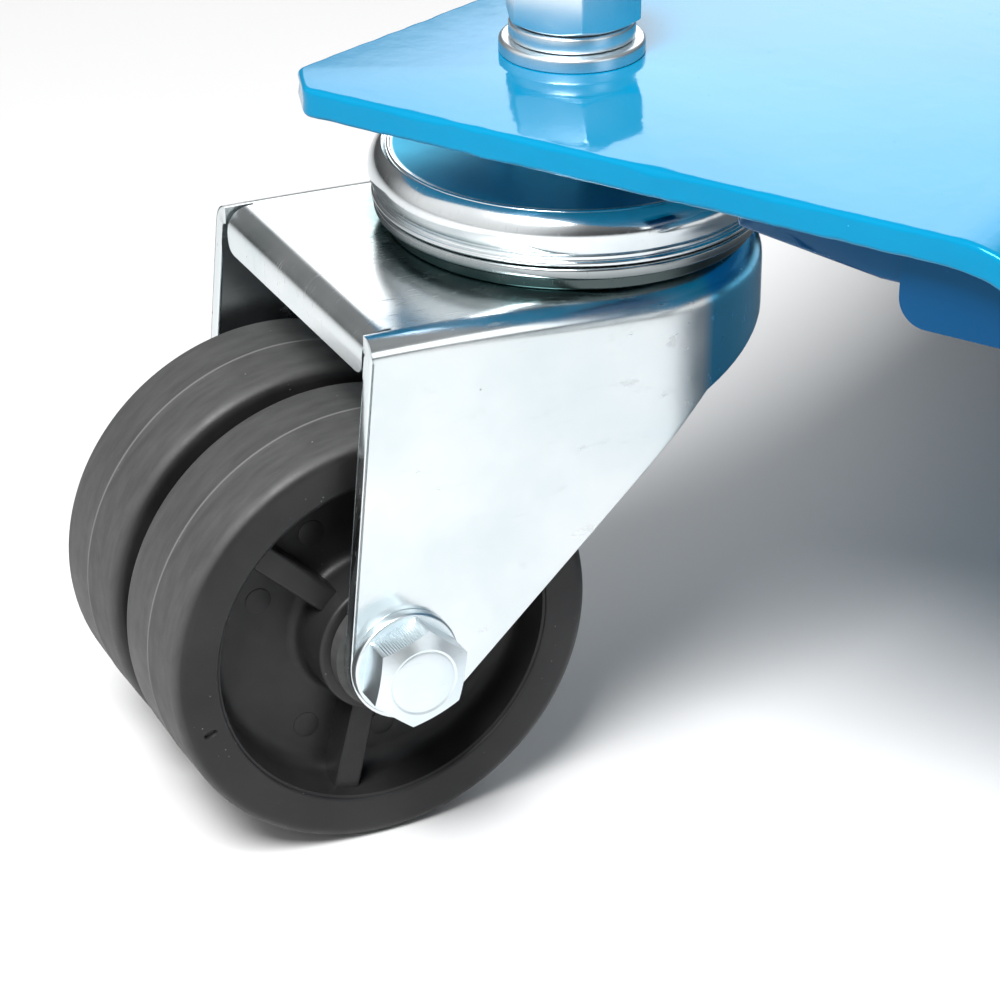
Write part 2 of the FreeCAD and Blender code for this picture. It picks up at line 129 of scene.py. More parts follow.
def tidy_normals(item, smooth_angle=35):
    """Merge doubled vertices, turn faces outward and shade smooth up to smooth_angle."""
    edit = bmesh.new()
    edit.from_mesh(item.data)
    bmesh.ops.remove_doubles(edit, verts=edit.verts, dist=1e-6)
    bmesh.ops.recalc_face_normals(edit, faces=edit.faces)
    edit.to_mesh(item.data)
    edit.free()
    item.data.shade_smooth()
    item.data.set_sharp_from_angle(angle=radians(smooth_angle))


def apply_modifiers(item, smooth_angle=35):
    """Turn the modifier stack into the item's mesh."""
    bpy.context.view_layer.update()
    evaluated = item.evaluated_get(bpy.context.evaluated_depsgraph_get())
    finished = bpy.data.meshes.new_from_object(evaluated)
    item.modifiers.clear()
    item.data = finished
    item.data.name = item.name
    tidy_normals(item, smooth_angle)
    return item


def bevelled(item, width, segments=3, angle=30, smooth_angle=35):
    """Round the item's edges that are sharper than angle."""
    bevel = item.modifiers.new("bevel", "BEVEL")
    bevel.width = width * MM
    bevel.segments = segments
    bevel.limit_method = "ANGLE"
    bevel.angle_limit = radians(angle)
    return apply_modifiers(item, smooth_angle)


def boolean(item, tools, operation, smooth_angle=35):
    """Join the tools to the item or cut them from it; the tools are used up."""
    for tool in tools:
        step = item.modifiers.new("boolean", "BOOLEAN")
        step.object = tool
        step.operation = operation
        step.solver = "EXACT"
    apply_modifiers(item, smooth_angle)
    for tool in tools:
        bpy.data.objects.remove(tool)
    return item


def grid_faces(rows, columns, wrap_rows=False, wrap_columns=False):
    """Quads between neighbouring vertices of a grid stored row by row."""
    faces = []
    for row in range(rows if wrap_rows else rows - 1):
        below = (row + 1) % rows
        for column in range(columns if wrap_columns else columns - 1):
            beside = (column + 1) % columns
            faces.append((row * columns + column, row * columns + beside,
                          below * columns + beside, below * columns + column))
    return faces


def lathe(name, section, segments=96, shape=None, smooth_angle=35):
    """A solid turned about Z from a closed section of (radius, height).

    shape(radius, height, angle) may move each point to a new (radius, height).
    A section that starts and ends on the axis is closed there.
    """
    on_axis = section[0][0] == 0 and section[-1][0] == 0
    ring = section[1:-1] if on_axis else section
    verts = []
    for radius, height in ring:
        for step in range(segments):
            angle = tau * step / segments
            r, z = shape(radius, height, angle) if shape else (radius, height)
            verts.append((r * cos(angle), r * sin(angle), z))
    faces = grid_faces(len(ring), segments, not on_axis, True)
    if on_axis:
        last = (len(ring) - 1) * segments
        faces.append(tuple(range(segments)))
        faces.append(tuple(range(last, last + segments)))
    return make_object(name, verts, faces, smooth_angle)


def drill_bit(radius, low, high, segments):
    """A plain cylinder on Z for boring a hole."""
    return lathe("drill", [(0, low), (radius, low), (radius, high), (0, high)], segments)


def spread(start, end, steps):
    """Evenly spaced numbers from start to end, both included."""
    return [start + (end - start) * step / steps for step in range(steps + 1)]


def arc(centre, radius, start, end, steps):
    """Points of an arc in a section, angles in degrees."""
    angles = [radians(angle) for angle in spread(start, end, steps)]
    return [(centre[0] + radius * cos(angle), centre[1] + radius * sin(angle)) for angle in angles]


def prism(name, outline, low, high):
    """A solid with a flat outline in XY, from height low to high."""
    count = len(outline)
    verts = [(x, y, z) for z in (low, high) for x, y in outline]
    faces = [tuple(range(count)), tuple(range(count, 2 * count))]
    faces += [(i, (i + 1) % count, count + (i + 1) % count, count + i) for i in range(count)]
    return make_object(name, verts, faces)


def raised(height):
    """A move along Z by a height in millimetres."""
    return Matrix.Translation((0, 0, height * MM))


def install(item, body, material, node):
    """Give a finished piece its material, ride it on its body and let it stand for its CAD node."""
    item.data.materials.clear()
    item.data.materials.append(material)
    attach(item, body)
    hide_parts(node)


def install_at_corners(pattern, label, places, body, material, slot, node):
    """Put a copy of a pattern at each corner; "{corner}" in a name stands for the corner's name."""
    for corner in CORNERS:
        item = add_object(f"{label}_{corner}", pattern.data, places(corner))
        install(item, body.format(corner=corner), material, node.format(corner=corner))
    bpy.data.objects.remove(pattern)


# ---- material helpers

class Nodes:
    """Short calls that add nodes to a tree; each input takes a constant or another node's output."""

    def __init__(self, tree):
        self.tree = tree

    def set(self, socket, value):
        """Link an output to a socket, or give it a constant."""
        if isinstance(value, bpy.types.NodeSocket):
            self.tree.links.new(value, socket)
        else:
            socket.default_value = value

    def add(self, kind, inputs=(), **settings):
        """A new node with its inputs, by name or number, and its settings."""
        node = self.tree.nodes.new(kind)
        for key, value in settings.items():
            setattr(node, key, value)
        for key, value in dict(inputs).items():
            self.set(node.inputs[key], value)
        return node

    def maths(self, operation, first, second=0):
        """A sum, product or other function of one or two numbers."""
        return self.add("ShaderNodeMath", {0: first, 1: second}, operation=operation).outputs["Value"]

    def vector(self, operation, first, second=(0, 0, 0), output="Vector"):
        """A function of one or two vectors."""
        inputs = {0: first, 1: second}
        return self.add("ShaderNodeVectorMath", inputs, operation=operation).outputs[output]

    def ramp(self, factor, low, high, out_low=0.0, out_high=1.0, kind="LINEAR"):
        """Map factor from low..high to out_low..out_high, clamped."""
        inputs = {"Value": factor, "From Min": low, "From Max": high, "To Min": out_low, "To Max": out_high}
        return self.add("ShaderNodeMapRange", inputs, interpolation_type=kind).outputs["Result"]


class Shader(Nodes):
    """A node material on one principled surface, patterned in object coordinates."""

    def __init__(self, name, **sockets):
        self.material = bpy.data.materials.new(name)
        self.material.use_nodes = True
        super().__init__(self.material.node_tree)
        self.surface = self.tree.nodes["Principled BSDF"]
        for key, value in sockets.items():
            self.set(self.surface.inputs[key.replace("_", " ")], value)
        self.coordinates = self.add("ShaderNodeTexCoord").outputs["Object"]

    def stretched(self, scale):
        """Object coordinates stretched by a scale for each axis."""
        return self.add("ShaderNodeMapping", {"Vector": self.coordinates, "Scale": scale}).outputs["Vector"]

    def places(self):
        """Object coordinates in millimetres: (x, z, distance from the Z axis)."""
        scaled = self.vector("MULTIPLY", self.coordinates, (1 / MM, 1 / MM, 1 / MM))
        parts = self.add("ShaderNodeSeparateXYZ", {"Vector": scaled})
        flat = self.vector("MULTIPLY", scaled, (1, 1, 0))
        return parts.outputs["X"], parts.outputs["Z"], self.vector("LENGTH", flat, output="Value")

    def noise(self, scale, detail=4, roughness=0.55, coordinates=None):
        """Cloudy values about 0.5."""
        inputs = {"Vector": coordinates or self.coordinates, "Scale": scale, "Detail": detail,
                  "Roughness": roughness}
        return self.add("ShaderNodeTexNoise", inputs).outputs["Fac"]

    def cells(self, scale):
        """Distance to the nearest of many scattered points."""
        inputs = {"Vector": self.coordinates, "Scale": scale}
        return self.add("ShaderNodeTexVoronoi", inputs).outputs["Distance"]

    def mix(self, factor, first, second):
        """A colour between two colours or colour outputs."""
        ends = [(*end, 1) if isinstance(end, tuple) else end for end in (first, second)]
        inputs = {"Factor": factor, 6: ends[0], 7: ends[1]}
        return self.add("ShaderNodeMix", inputs, data_type="RGBA").outputs[2]

    def finish(self, colour, roughness, *layers):
        """Set colour and roughness, and stack height layers, each (output, distance in millimetres)."""
        self.set(self.surface.inputs["Base Color"], colour)
        self.set(self.surface.inputs["Roughness"], roughness)
        inputs = {}
        for height, distance in layers:
            inputs |= {"Height": height, "Distance": distance * MM, "Strength": 1}
            inputs["Normal"] = self.add("ShaderNodeBump", inputs).outputs["Normal"]
        if layers:
            self.set(self.surface.inputs["Normal"], inputs["Normal"])
        return self.material


ENAMEL_SHEEN = (0.12, 0.48, 0.80, 1.0)
NIB_BLUE = (0.02, 0.32, 0.56)
DECK_BLUE = ((0.0004, 0.150, 0.285), (0.0006, 0.170, 0.315))
# The rails' blue is the deck's blue darkened: painted shade for rails set back under the deck's edge.
RAIL_SHADED_BLUE = ((0.0002, 0.030, 0.098), (0.0003, 0.037, 0.114))
# Painted reflection of the deck's blue on the cup's lid.
LID_PAINTED_REFLECTION = (0.02, 0.40, 0.62)
LID_RADIUS = 29.9
LID_WEAR = 0.30
# Painted reflection of the blue deck and rail on the fork's nose, fading in between these distances along the
# fork.
NOSE_PAINTED_REFLECTION = (0.04, 0.50, 0.86)
NOSE_START = 8.6
NOSE_FULL = 11.0
# Painted shade on the lower race under the cup's lip.
RACE_PAINTED_SHADE = (0.045, 0.065, 0.065)
# Painted shade on the fork's top in a ring round the race, between these radii.
FORK_PAINTED_SHADE = (0.09, 0.20, 0.20)
RACE_SHADE_INNER = 32.0
RACE_SHADE_OUTER = 38.5
PASSIVATION = (0.56, 0.76, 0.82)
SPECK = (0.10, 0.11, 0.12)
SCRATCH = (0.50, 0.52, 0.54)
# Zinc kinds: (darker tint, lighter tint, lowest roughness, highest roughness, scratch scale).
FORK_ZINC = ((0.69, 0.76, 0.78), (0.83, 0.86, 0.87), 0.14, 0.26, 90)
CUP_ZINC = ((0.66, 0.72, 0.75), (0.82, 0.85, 0.86), 0.08, 0.20, 160)
LOWER_RACE_ZINC = ((0.66, 0.72, 0.75), (0.82, 0.85, 0.86), 0.12, 0.26, 160)
FASTENER_ZINC = ((0.70, 0.78, 0.82), (0.84, 0.89, 0.92), 0.26, 0.38, 240)
MOULDED_BLACK = ((0.0085, 0.0082, 0.0086), (0.0150, 0.0146, 0.0150))
WORN_BLACK = ((0.034, 0.034, 0.034), (0.051, 0.052, 0.051))
PARTING_GREY = (0.13, 0.13, 0.13)
DUST = (0.30, 0.30, 0.29)
NYLON_WHITE = ((0.62, 0.60, 0.54), (0.74, 0.73, 0.68))
BALL_GREY = ((0.60, 0.60, 0.61), (0.72, 0.72, 0.73))


def make_paint(name, low, high):
    """Thick glossy blue enamel with orange peel, dust nibs and slightly uneven cover."""
    paint = Shader(name, IOR=1.6, Specular_Tint=ENAMEL_SHEEN)
    cover = paint.ramp(paint.noise(14, 3), 0.35, 0.65)
    base = paint.mix(cover, low, high)
    nibs = paint.ramp(paint.cells(330), 0.05, 0.035)
    scattered = paint.ramp(paint.noise(60, 1), 0.56, 0.62)
    nibs = paint.maths("MULTIPLY", nibs, scattered)
    roughness = paint.ramp(paint.noise(90, 5), 0.3, 0.7, 0.05, 0.10)
    return paint.finish(paint.mix(nibs, base, NIB_BLUE), roughness,
                        (paint.noise(260, 2), 0.035), (paint.noise(40, 2), 0.12), (nibs, 0.04))


def cup_painted_reflection(zinc, base, wear):
    """The lid, inside its rim, is duller and carries a painted reflection of the blue deck just above it."""
    _, height, radius = zinc.places()
    inside = zinc.ramp(radius, LID_RADIUS + 0.2, LID_RADIUS - 0.2)
    lid = zinc.maths("MULTIPLY", zinc.ramp(height, CUP_TOP - 0.5, CUP_TOP - 0.3), inside)
    return zinc.mix(lid, base, LID_PAINTED_REFLECTION), zinc.maths("ADD", wear, zinc.maths("MULTIPLY", lid, LID_WEAR))


def lower_race_painted_shade(zinc, base, wear):
    """Painted shade darkens the lower race under the cup's lip, most of all at its foot."""
    height = zinc.places()[1]
    race_shade = zinc.ramp(height, FORK_TOP + 2.0, FORK_TOP + 4.6, 0.96, 0.45)
    return zinc.mix(race_shade, base, RACE_PAINTED_SHADE), wear


def fork_painted_shade_and_reflection(zinc, base, wear):
    """Painted shade darkens the plate in a ring round the race, and the nose under the deck carries a painted
    reflection of the deck's blue.
    """
    along, height, radius = zinc.places()
    # The painted shade ring round the race, its edge made ragged by noise.
    shade_reach = zinc.maths("ADD", radius, zinc.ramp(zinc.noise(150, 3), 0.3, 0.7, -1.2, 1.2))
    on_top = zinc.ramp(height, FORK_TOP - 2.0, FORK_TOP - 0.5)
    ring = zinc.maths("MULTIPLY", zinc.ramp(shade_reach, RACE_SHADE_OUTER, RACE_SHADE_INNER), on_top)
    base = zinc.mix(zinc.maths("MULTIPLY", ring, 0.9), base, FORK_PAINTED_SHADE)
    # The nose takes a painted reflection of the deck's blue.
    return zinc.mix(zinc.ramp(along, NOSE_START, NOSE_FULL, 0.0, 0.9), base, NOSE_PAINTED_REFLECTION), wear


def make_zinc(name, tint_low, tint_high, rough_low, rough_high, scratch_scale, painted_light=None):
    """Bright zinc plate: cloudy sheen, faint passivation tint, handling scratches and dark specks."""
    zinc = Shader(name, Metallic=1.0)
    cloud = zinc.noise(38, 6, 0.6)
    base = zinc.mix(zinc.ramp(cloud, 0.35, 0.68), tint_low, tint_high)
    passivation = zinc.ramp(zinc.noise(11, 2), 0.52, 0.75, 0.0, 0.35)
    base = zinc.mix(passivation, base, PASSIVATION)
    specks = zinc.ramp(zinc.cells(210), 0.055, 0.03)
    rare = zinc.ramp(zinc.noise(45, 1), 0.60, 0.66)
    specks = zinc.maths("MULTIPLY", specks, rare)
    base = zinc.mix(specks, base, SPECK)
    scratches = zinc.noise(scratch_scale, 3, 0.7, zinc.stretched((1.0, 14.0, 3.0)))
    fine = zinc.ramp(scratches, 0.60, 0.70)
    base = zinc.mix(zinc.maths("MULTIPLY", fine, 0.18), base, SCRATCH)
    wear = zinc.maths("ADD", zinc.ramp(cloud, 0.3, 0.7, rough_low, rough_high),
                      zinc.maths("MULTIPLY", fine, 0.10))
    # The cup, lower race and fork add painted shade and painted reflections over their own colour.
    if painted_light:
        base, wear = painted_light(zinc, base, wear)
    return zinc.finish(base, wear, (zinc.noise(700, 3), 0.005), (zinc.noise(45, 2), 0.03), (fine, 0.003))


def make_wheel_plastic():
    """Black moulded polypropylene: satin faces, a greyed and rubbed tread, parting lines and dust."""
    plastic = Shader("wheel_plastic", Specular_IOR_Level=0.35)
    _, height, radius = plastic.places()
    tread = plastic.ramp(radius, WHEEL_RADIUS - 1.4, WHEEL_RADIUS - 0.35)
    parting = plastic.ramp(plastic.maths("ABSOLUTE", height), 0.34, 0.16)
    outermost = plastic.ramp(radius, WHEEL_RADIUS - 0.3, WHEEL_RADIUS - 0.15)
    parting = plastic.maths("MULTIPLY", parting, outermost)
    tone = plastic.ramp(plastic.noise(55, 5), 0.35, 0.7)
    face = plastic.mix(tone, *MOULDED_BLACK)
    band = plastic.noise(120, 4, 0.6, plastic.stretched((1.0, 1.0, 5.0)))
    worn = plastic.mix(plastic.ramp(band, 0.3, 0.7), *WORN_BLACK)
    base = plastic.mix(plastic.maths("MULTIPLY", parting, 0.7), plastic.mix(tread, face, worn), PARTING_GREY)
    dust = plastic.ramp(plastic.cells(620), 0.10, 0.05)
    scattered = plastic.ramp(plastic.noise(80, 2), 0.55, 0.66)
    dust = plastic.maths("MULTIPLY", dust, scattered)
    base = plastic.mix(plastic.maths("MULTIPLY", dust, 0.5), base, DUST)
    rub = plastic.maths("MULTIPLY", tread, 0.12)
    roughness = plastic.maths("ADD", plastic.ramp(plastic.noise(170, 4), 0.3, 0.7, 0.38, 0.52), rub)
    return plastic.finish(base, roughness, (plastic.noise(1500, 2), 0.02), (plastic.noise(240, 3), 0.03),
                          (dust, 0.05))


def make_nylon():
    """Off-white nylon of the wheels' bushes."""
    nylon = Shader("bush_nylon", Subsurface_Weight=0.1)
    base = nylon.mix(nylon.noise(60), *NYLON_WHITE)
    return nylon.finish(base, 0.45, (nylon.noise(600, 2), 0.02))


def make_ball_steel():
    """Polished bearing steel."""
    steel = Shader("ball_steel", Metallic=1.0)
    base = steel.mix(steel.noise(80), *BALL_GREY)
    return steel.finish(base, steel.ramp(steel.noise(300, 3), 0.3, 0.7, 0.08, 0.2))


# ---- deck

CRADLE_ANGLE = radians(28)
CRADLE_SHOULDER = 76.5
SHOULDER_RADIUS = 23.0
FLOOR_RADIUS = 25.0
DECK_THICKNESS = 5.0
CRADLE_DEPTH = DECK_TOP - bottom_of("deck_plate") - DECK_THICKNESS
DECK_HALF_LENGTH = 204.1
END_TAPER = radians(8.7)
END_TAPER_RUN = 80.0
CORNER_CLIP = 7.5
DECK_EDGE_STEPS = 5
TAPER_RADIUS = 30.0
CORNER_RADIUS = 2.6
OUTLINE_SPACING = 1.2
BEND_MARGIN = 12
BEND_CUTS = 100
KINGPIN_HOLE_RADIUS = 7.5


def formed_line(x, shoulder, shoulder_radius, floor_radius, wing_height, drop):
    """Height and slope angle, at x, of a line that bends down at a shoulder and level at a floor."""
    distance = abs(x)
    sign = 1 if x >= 0 else -1
    half_turn = tan(CRADLE_ANGLE / 2)
    run = cos(CRADLE_ANGLE)
    floor = shoulder - drop / tan(CRADLE_ANGLE)
    shoulder_end = shoulder + shoulder_radius * half_turn
    shoulder_start = shoulder - shoulder_radius * half_turn * run
    floor_end = floor + floor_radius * half_turn * run
    floor_start = floor - floor_radius * half_turn
    if distance >= shoulder_end:
        return wing_height, 0.0
    if distance > shoulder_start:
        angle = asin((shoulder_end - distance) / shoulder_radius)
        return wing_height - shoulder_radius * (1 - cos(angle)), sign * angle
    if distance > floor_end:
        return wing_height - (shoulder - distance) * tan(CRADLE_ANGLE), sign * CRADLE_ANGLE
    if distance > floor_start:
        angle = asin((distance - floor_start) / floor_radius)
        return wing_height - drop + floor_radius * (1 - cos(angle)), sign * angle
    return wing_height - drop, 0.0


def deck_surface(x):
    """Height and slope angle of the deck's top face at x."""
    return formed_line(x, CRADLE_SHOULDER, SHOULDER_RADIUS, FLOOR_RADIUS, DECK_TOP, CRADLE_DEPTH)


def rail_bottom(x):
    """Height of a side rail's lower edge: deep under the wings, shallower under the cradle."""
    wing_height = DECK_TOP - DECK_THICKNESS - RAIL_DEPTH
    drop = CRADLE_DEPTH - RAIL_DEPTH + RAIL_FLOOR_DEPTH
    return formed_line(x, RAIL_SHOULDER, RAIL_SHOULDER_RADIUS, FLOOR_RADIUS + DECK_THICKNESS,
                       wing_height, drop)[0]


def formed(x, y, depth):
    """A point of the flat blank, at a depth under its top, carried to the formed sheet."""
    height, slope = deck_surface(x)
    return (x + depth * sin(slope), y, height - depth * cos(slope))


def deck_corner_points():
    """Corners of the deck's outline in the X > 0, Y > 0 quarter, from the end to the side."""
    def along_end(run):
        return (DECK_HALF_LENGTH - run * sin(END_TAPER), DECK_HALF_WIDTH - run * cos(END_TAPER))

    clipped = (DECK_HALF_LENGTH - CORNER_CLIP, DECK_HALF_WIDTH)
    return [along_end(END_TAPER_RUN), along_end(CORNER_CLIP), clipped]


def rounded_outline(corners, radii, spacing):
    """A closed outline with rounded corners and points at most spacing apart."""
    points = []
    count = len(corners)
    for index in range(count):
        before = Vector(corners[index - 1])
        corner = Vector(corners[index])
        after = Vector(corners[(index + 1) % count])
        inward = (before - corner).normalized()
        outward = (after - corner).normalized()
        half_angle = inward.angle(outward) / 2
        reach = radii[index] / tan(half_angle)
        start = corner + inward * reach
        end = corner + outward * reach
        turn = pi - 2 * half_angle
        steps = max(3, ceil(turn * radii[index]))
        centre = corner + (inward + outward).normalized() * (radii[index] / sin(half_angle))
        for share in spread(0, 1, steps):
            chord = start.lerp(end, share) - centre
            points.append(centre + chord.normalized() * radii[index])
    spaced = []
    for index, point in enumerate(points):
        following = points[(index + 1) % len(points)]
        steps = max(1, ceil((following - point).length / spacing))
        spaced += [point.lerp(following, step / steps) for step in range(steps)]
    return spaced


def outline_normals(outline):
    """Outward direction at each point of a counter-clockwise outline."""
    normals = []
    for index, point in enumerate(outline):
        along = (outline[(index + 1) % len(outline)] - outline[index - 1]).normalized()
        normals.append(Vector((along.y, -along.x)))
    return normals


def unevenness(point, seed, wavelength):
    """Smooth value from 0 to 1 that changes along an edge over about a wavelength."""
    value = noise.noise(Vector((point.x / wavelength, point.y / wavelength, seed)))
    return min(1.0, max(0.0, 0.5 + 0.8 * value))


def deck_rings(point):
    """The deck's edge at a point of its outline, from the top face over the edge to the bottom face.

    Paint fills the cut edge unevenly, so both roundings change along it. Gives (inset, depth) pairs.
    """
    runs = 0.6 * unevenness(point, 3.0, 9.0) + 0.4 * unevenness(point, 5.0, 3.5)
    top_radius = 0.45 + 1.25 * runs
    beads = 0.5 * unevenness(point, 8.0, 6.0) + 0.5 * unevenness(point, 9.5, 2.6)
    bottom_radius = 0.35 + 1.1 * beads
    hollow = 0.28 * unevenness(point, 13.0, 7.0) + 0.12 * unevenness(point, 17.0, 2.2)
    rings = []
    for angle in spread(0, pi / 2, DECK_EDGE_STEPS):
        rings.append((top_radius * (1 - sin(angle)), top_radius * (1 - cos(angle))))
    rings.append((hollow, DECK_THICKNESS * 0.5))
    for angle in spread(0, pi / 2, DECK_EDGE_STEPS):
        inset = bottom_radius * (1 - cos(angle))
        rings.append((inset, DECK_THICKNESS - bottom_radius * (1 - sin(angle))))
    return rings


def make_deck():
    """The deck sheet with paint-filled edges, cut across so that it can follow the cradle."""
    quarter = deck_corner_points()
    radii = [TAPER_RADIUS, CORNER_RADIUS, CORNER_RADIUS]
    corners = quarter + [(-x, y) for x, y in reversed(quarter)]
    corners += [(-x, -y) for x, y in quarter] + [(x, -y) for x, y in reversed(quarter)]
    corner_radii = radii + radii[::-1] + radii + radii[::-1]
    outline = rounded_outline(corners, corner_radii, OUTLINE_SPACING)
    normals = outline_normals(outline)
    edit = bmesh.new()
    loops = [[] for _ in deck_rings(outline[0])]
    for point, normal in zip(outline, normals):
        for loop, (inset, depth) in zip(loops, deck_rings(point)):
            place = point - normal * inset
            loop.append(edit.verts.new((place.x * MM, place.y * MM, -depth * MM)))
    count = len(outline)
    for upper, lower in zip(loops, loops[1:]):
        for index in range(count):
            beside = (index + 1) % count
            edit.faces.new((upper[index], lower[index], lower[beside], upper[beside]))
    edit.faces.new(loops[0])
    edit.faces.new(list(reversed(loops[-1])))
    bend_end = (CRADLE_SHOULDER + BEND_MARGIN) * MM
    for place in spread(-bend_end, bend_end, BEND_CUTS):
        geometry = edit.verts[:] + edit.edges[:] + edit.faces[:]
        bmesh.ops.bisect_plane(edit, geom=geometry, dist=1e-7, plane_co=(place, 0, 0), plane_no=(1, 0, 0))
    for vertex in edit.verts:
        x, y, minus_depth = (component / MM for component in vertex.co)
        vertex.co = [component * MM for component in formed(x, y, -minus_depth)]
    mesh = bpy.data.meshes.new("deck_sheet")
    edit.to_mesh(mesh)
    edit.free()
    deck = add_object("deck_sheet", mesh)
    tidy_normals(deck, 40)
    drills = []
    for side_x in (-1, 1):
        for side_y in (-1, 1):
            drill = drill_bit(KINGPIN_HOLE_RADIUS, low=90, high=150, segments=48)
            drill.matrix_world = Matrix.Translation((side_x * KINGPIN_X, side_y * KINGPIN_Y, 0))
            drills.append(drill)
    return boolean(deck, drills, "DIFFERENCE", 40)


RAIL_DEPTH = 13.1
RAIL_HALF_LENGTH = 92.4
RAIL_THICKNESS = 5.0
RAIL_SETBACK = DECK_HALF_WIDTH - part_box("rear_side_rail")[1].y / MM
RAIL_CORNER = 4.5
RAIL_SHOULDER = 71.0
RAIL_SHOULDER_RADIUS = 12.0
RAIL_FLOOR_DEPTH = 8.0
FOOT_THICKNESS = 7.1
FOOT_SETBACK = 5.9
FOOT_PLAN = ((90.4, 0.0), (96.0, 0.0), (124.0, 6.5), (124.0, 18.1), (90.4, 18.1))
RAIL_CORNER_STEPS = 10
RAIL_STEPS = 110
WELD_GAP = 0.02


def rail_stations():
    """Places along the rail, close together round its end corners."""
    turns = spread(0, pi / 2, RAIL_CORNER_STEPS)
    corner = [RAIL_HALF_LENGTH - RAIL_CORNER * (1 - cos(turn)) for turn in turns]
    inner = RAIL_HALF_LENGTH - RAIL_CORNER
    return corner + spread(inner, -inner, RAIL_STEPS)[1:-1] + [-x for x in reversed(corner)]


def make_rail(name, side):
    """A side rail: web under the cradle and a tapered foot at each end, edges rounded by the paint."""
    stations = rail_stations()
    upper = [formed(x, 0, DECK_THICKNESS + WELD_GAP) for x in stations]
    lower = []
    for x in stations:
        inside = max(0.0, RAIL_CORNER - (RAIL_HALF_LENGTH - abs(x)))
        lift = RAIL_CORNER - sqrt(RAIL_CORNER ** 2 - inside ** 2)
        lower.append((x, rail_bottom(x) + lift))
    outline = [(p[0], p[2]) for p in upper] + lower[::-1]
    web = prism(f"{name}_web", outline, -RAIL_THICKNESS / 2, RAIL_THICKNESS / 2)
    place = side * (DECK_HALF_WIDTH - RAIL_SETBACK - RAIL_THICKNESS / 2)
    web.data.transform(Matrix.Translation((0, place * MM, 0)) @ Matrix.Rotation(pi / 2, 4, "X"))
    bevelled(web, 0.9, 4, 40)
    feet = []
    front = DECK_HALF_WIDTH - FOOT_SETBACK
    foot_top = DECK_TOP - DECK_THICKNESS - WELD_GAP
    for end in (-1, 1):
        plan = [(end * x, side * (front - inset)) for x, inset in FOOT_PLAN]
        foot = prism("foot", plan, foot_top - FOOT_THICKNESS + WELD_GAP, foot_top)
        feet.append(bevelled(foot, 0.7, 3, 40))
    rail = boolean(web, feet, "UNION")
    rail.name = name
    return rail


# ---- fasteners

NUT_FLATS = 21.0
AXLE_FLATS = 15.2
NUT_TURN = radians(8.3)
SPLIT_TURN = radians(75)
KINGPIN_RADIUS = 7.0
KINGPIN_PITCH = 2.0
THREAD_DEPTH = 1.2
THREAD_ROWS = 8
BORE = KINGPIN_RADIUS + 0.05
NECK_RADIUS = 9.0
KINGPIN_HEAD_RADIUS = 13.0
AXLE_RADIUS = 5.0
AXLE_BORE = AXLE_RADIUS + 0.05
AXLE_HEAD_HEIGHT = 6.4
AXLE_NUT_HEIGHT = 8.4
AXLE_HEAD_TURN = radians(20)
AXLE_WASHER_THICKNESS = 2.0
AXLE_PAST_SEAT = 11.1
UPSIDE_DOWN = Matrix.Rotation(pi, 4, "X")
CLAMP_NUT_HEIGHT = 8.0
FLAT_WASHER_TOP = top_of("flat_washers")
SPRING_WASHER_TOP = top_of("spring_washers")
NUT_TOP = top_of("kingpin_nuts")
KINGPIN_TOP = top_of("kingpins")
KINGPIN_FOOT = bottom_of("kingpins")


def hexagon_radius(flats, angle):
    """Distance from the middle of a hexagon to its side, in the direction of angle."""
    sector = pi / 3
    return flats / 2 / cos((angle % sector) - sector / 2)


def hex_solid(name, flats, height, bore, chamfers, flat_share=0.92, slope=30, serrated=False):
    """A nut or bolt head: hexagon with conical chamfers below and above, and a bore unless it is 0.

    flat_share is the flat end's radius over half the flats. A serrated head has the marks of the
    forming die on one side.
    """
    flat_radius = flats / 2 * flat_share
    fall = tan(radians(slope))
    segments = 240
    marked = range(segments // 6 + 2, segments // 3 - 1)

    def shape(radius, z, angle):
        if radius != "side":
            return radius, z
        reach = hexagon_radius(flats, angle)
        step = round(angle / tau * segments)
        if serrated and step in marked and step % 2:
            reach -= 0.11
        drop = (reach - flat_radius) * fall
        return reach, chamfers[0] * drop if z == 0 else height - chamfers[1] * drop

    lead = 0.5
    if bore:
        section = [(bore, lead), (bore + lead, 0), (flat_radius, 0), ("side", 0), ("side", height),
                   (flat_radius, height), (bore + lead, height), (bore, height - lead)]
    else:
        section = [(0, 0), (flat_radius, 0), ("side", 0), ("side", height), (flat_radius, height),
                   (flat_radius * 0.93, height - 0.12), (flat_radius * 0.86, height + 0.05),
                   (flat_radius * 0.5, height + 0.09), (0, height + 0.12)]
    solid = lathe(name, section, segments, shape, 18)
    return solid if serrated else bevelled(solid, 0.2, 2, 28, 30)


def washer(name, outer, inner, thickness, edge=0.3):
    """A stamped washer: rounded on top, square below."""
    section = [(inner, 0), (outer - edge / 2, 0), (outer, edge / 2)]
    section += arc((outer - edge * 1.8, thickness - edge * 1.8), edge * 1.8, 0, 90, 6)
    section += arc((inner + edge, thickness - edge), edge, 90, 180, 4)
    return lathe(name, section, 96)


def spring_washer(name, outer, inner, thickness, gap, rise):
    """A split lock washer whose two ends stand a little apart."""
    steps = 110
    opening = gap / ((outer + inner) / 2)
    half = (outer - inner) / 2
    middle = (outer + inner) / 2
    corner = 0.45
    section = []
    across = half - corner
    above = thickness / 2 - corner
    for centre, start in (((across, above), 0), ((-across, above), 90), ((-across, -above), 180),
                          ((across, -above), 270)):
        section += arc(centre, corner, start, start + 90, 3)
    verts = []
    for share in spread(0, 1, steps):
        angle = opening / 2 + (tau - opening) * share
        lift = thickness / 2 + rise * (share - 0.5)
        for outward, upward in section:
            radius = middle + outward
            verts.append((radius * cos(angle), radius * sin(angle), lift + upward))
    columns = len(section)
    faces = grid_faces(steps + 1, columns, False, True)
    faces.append(tuple(range(columns)))
    faces.append(tuple(range(steps * columns, (steps + 1) * columns)))
    return make_object(name, verts, faces, 40)


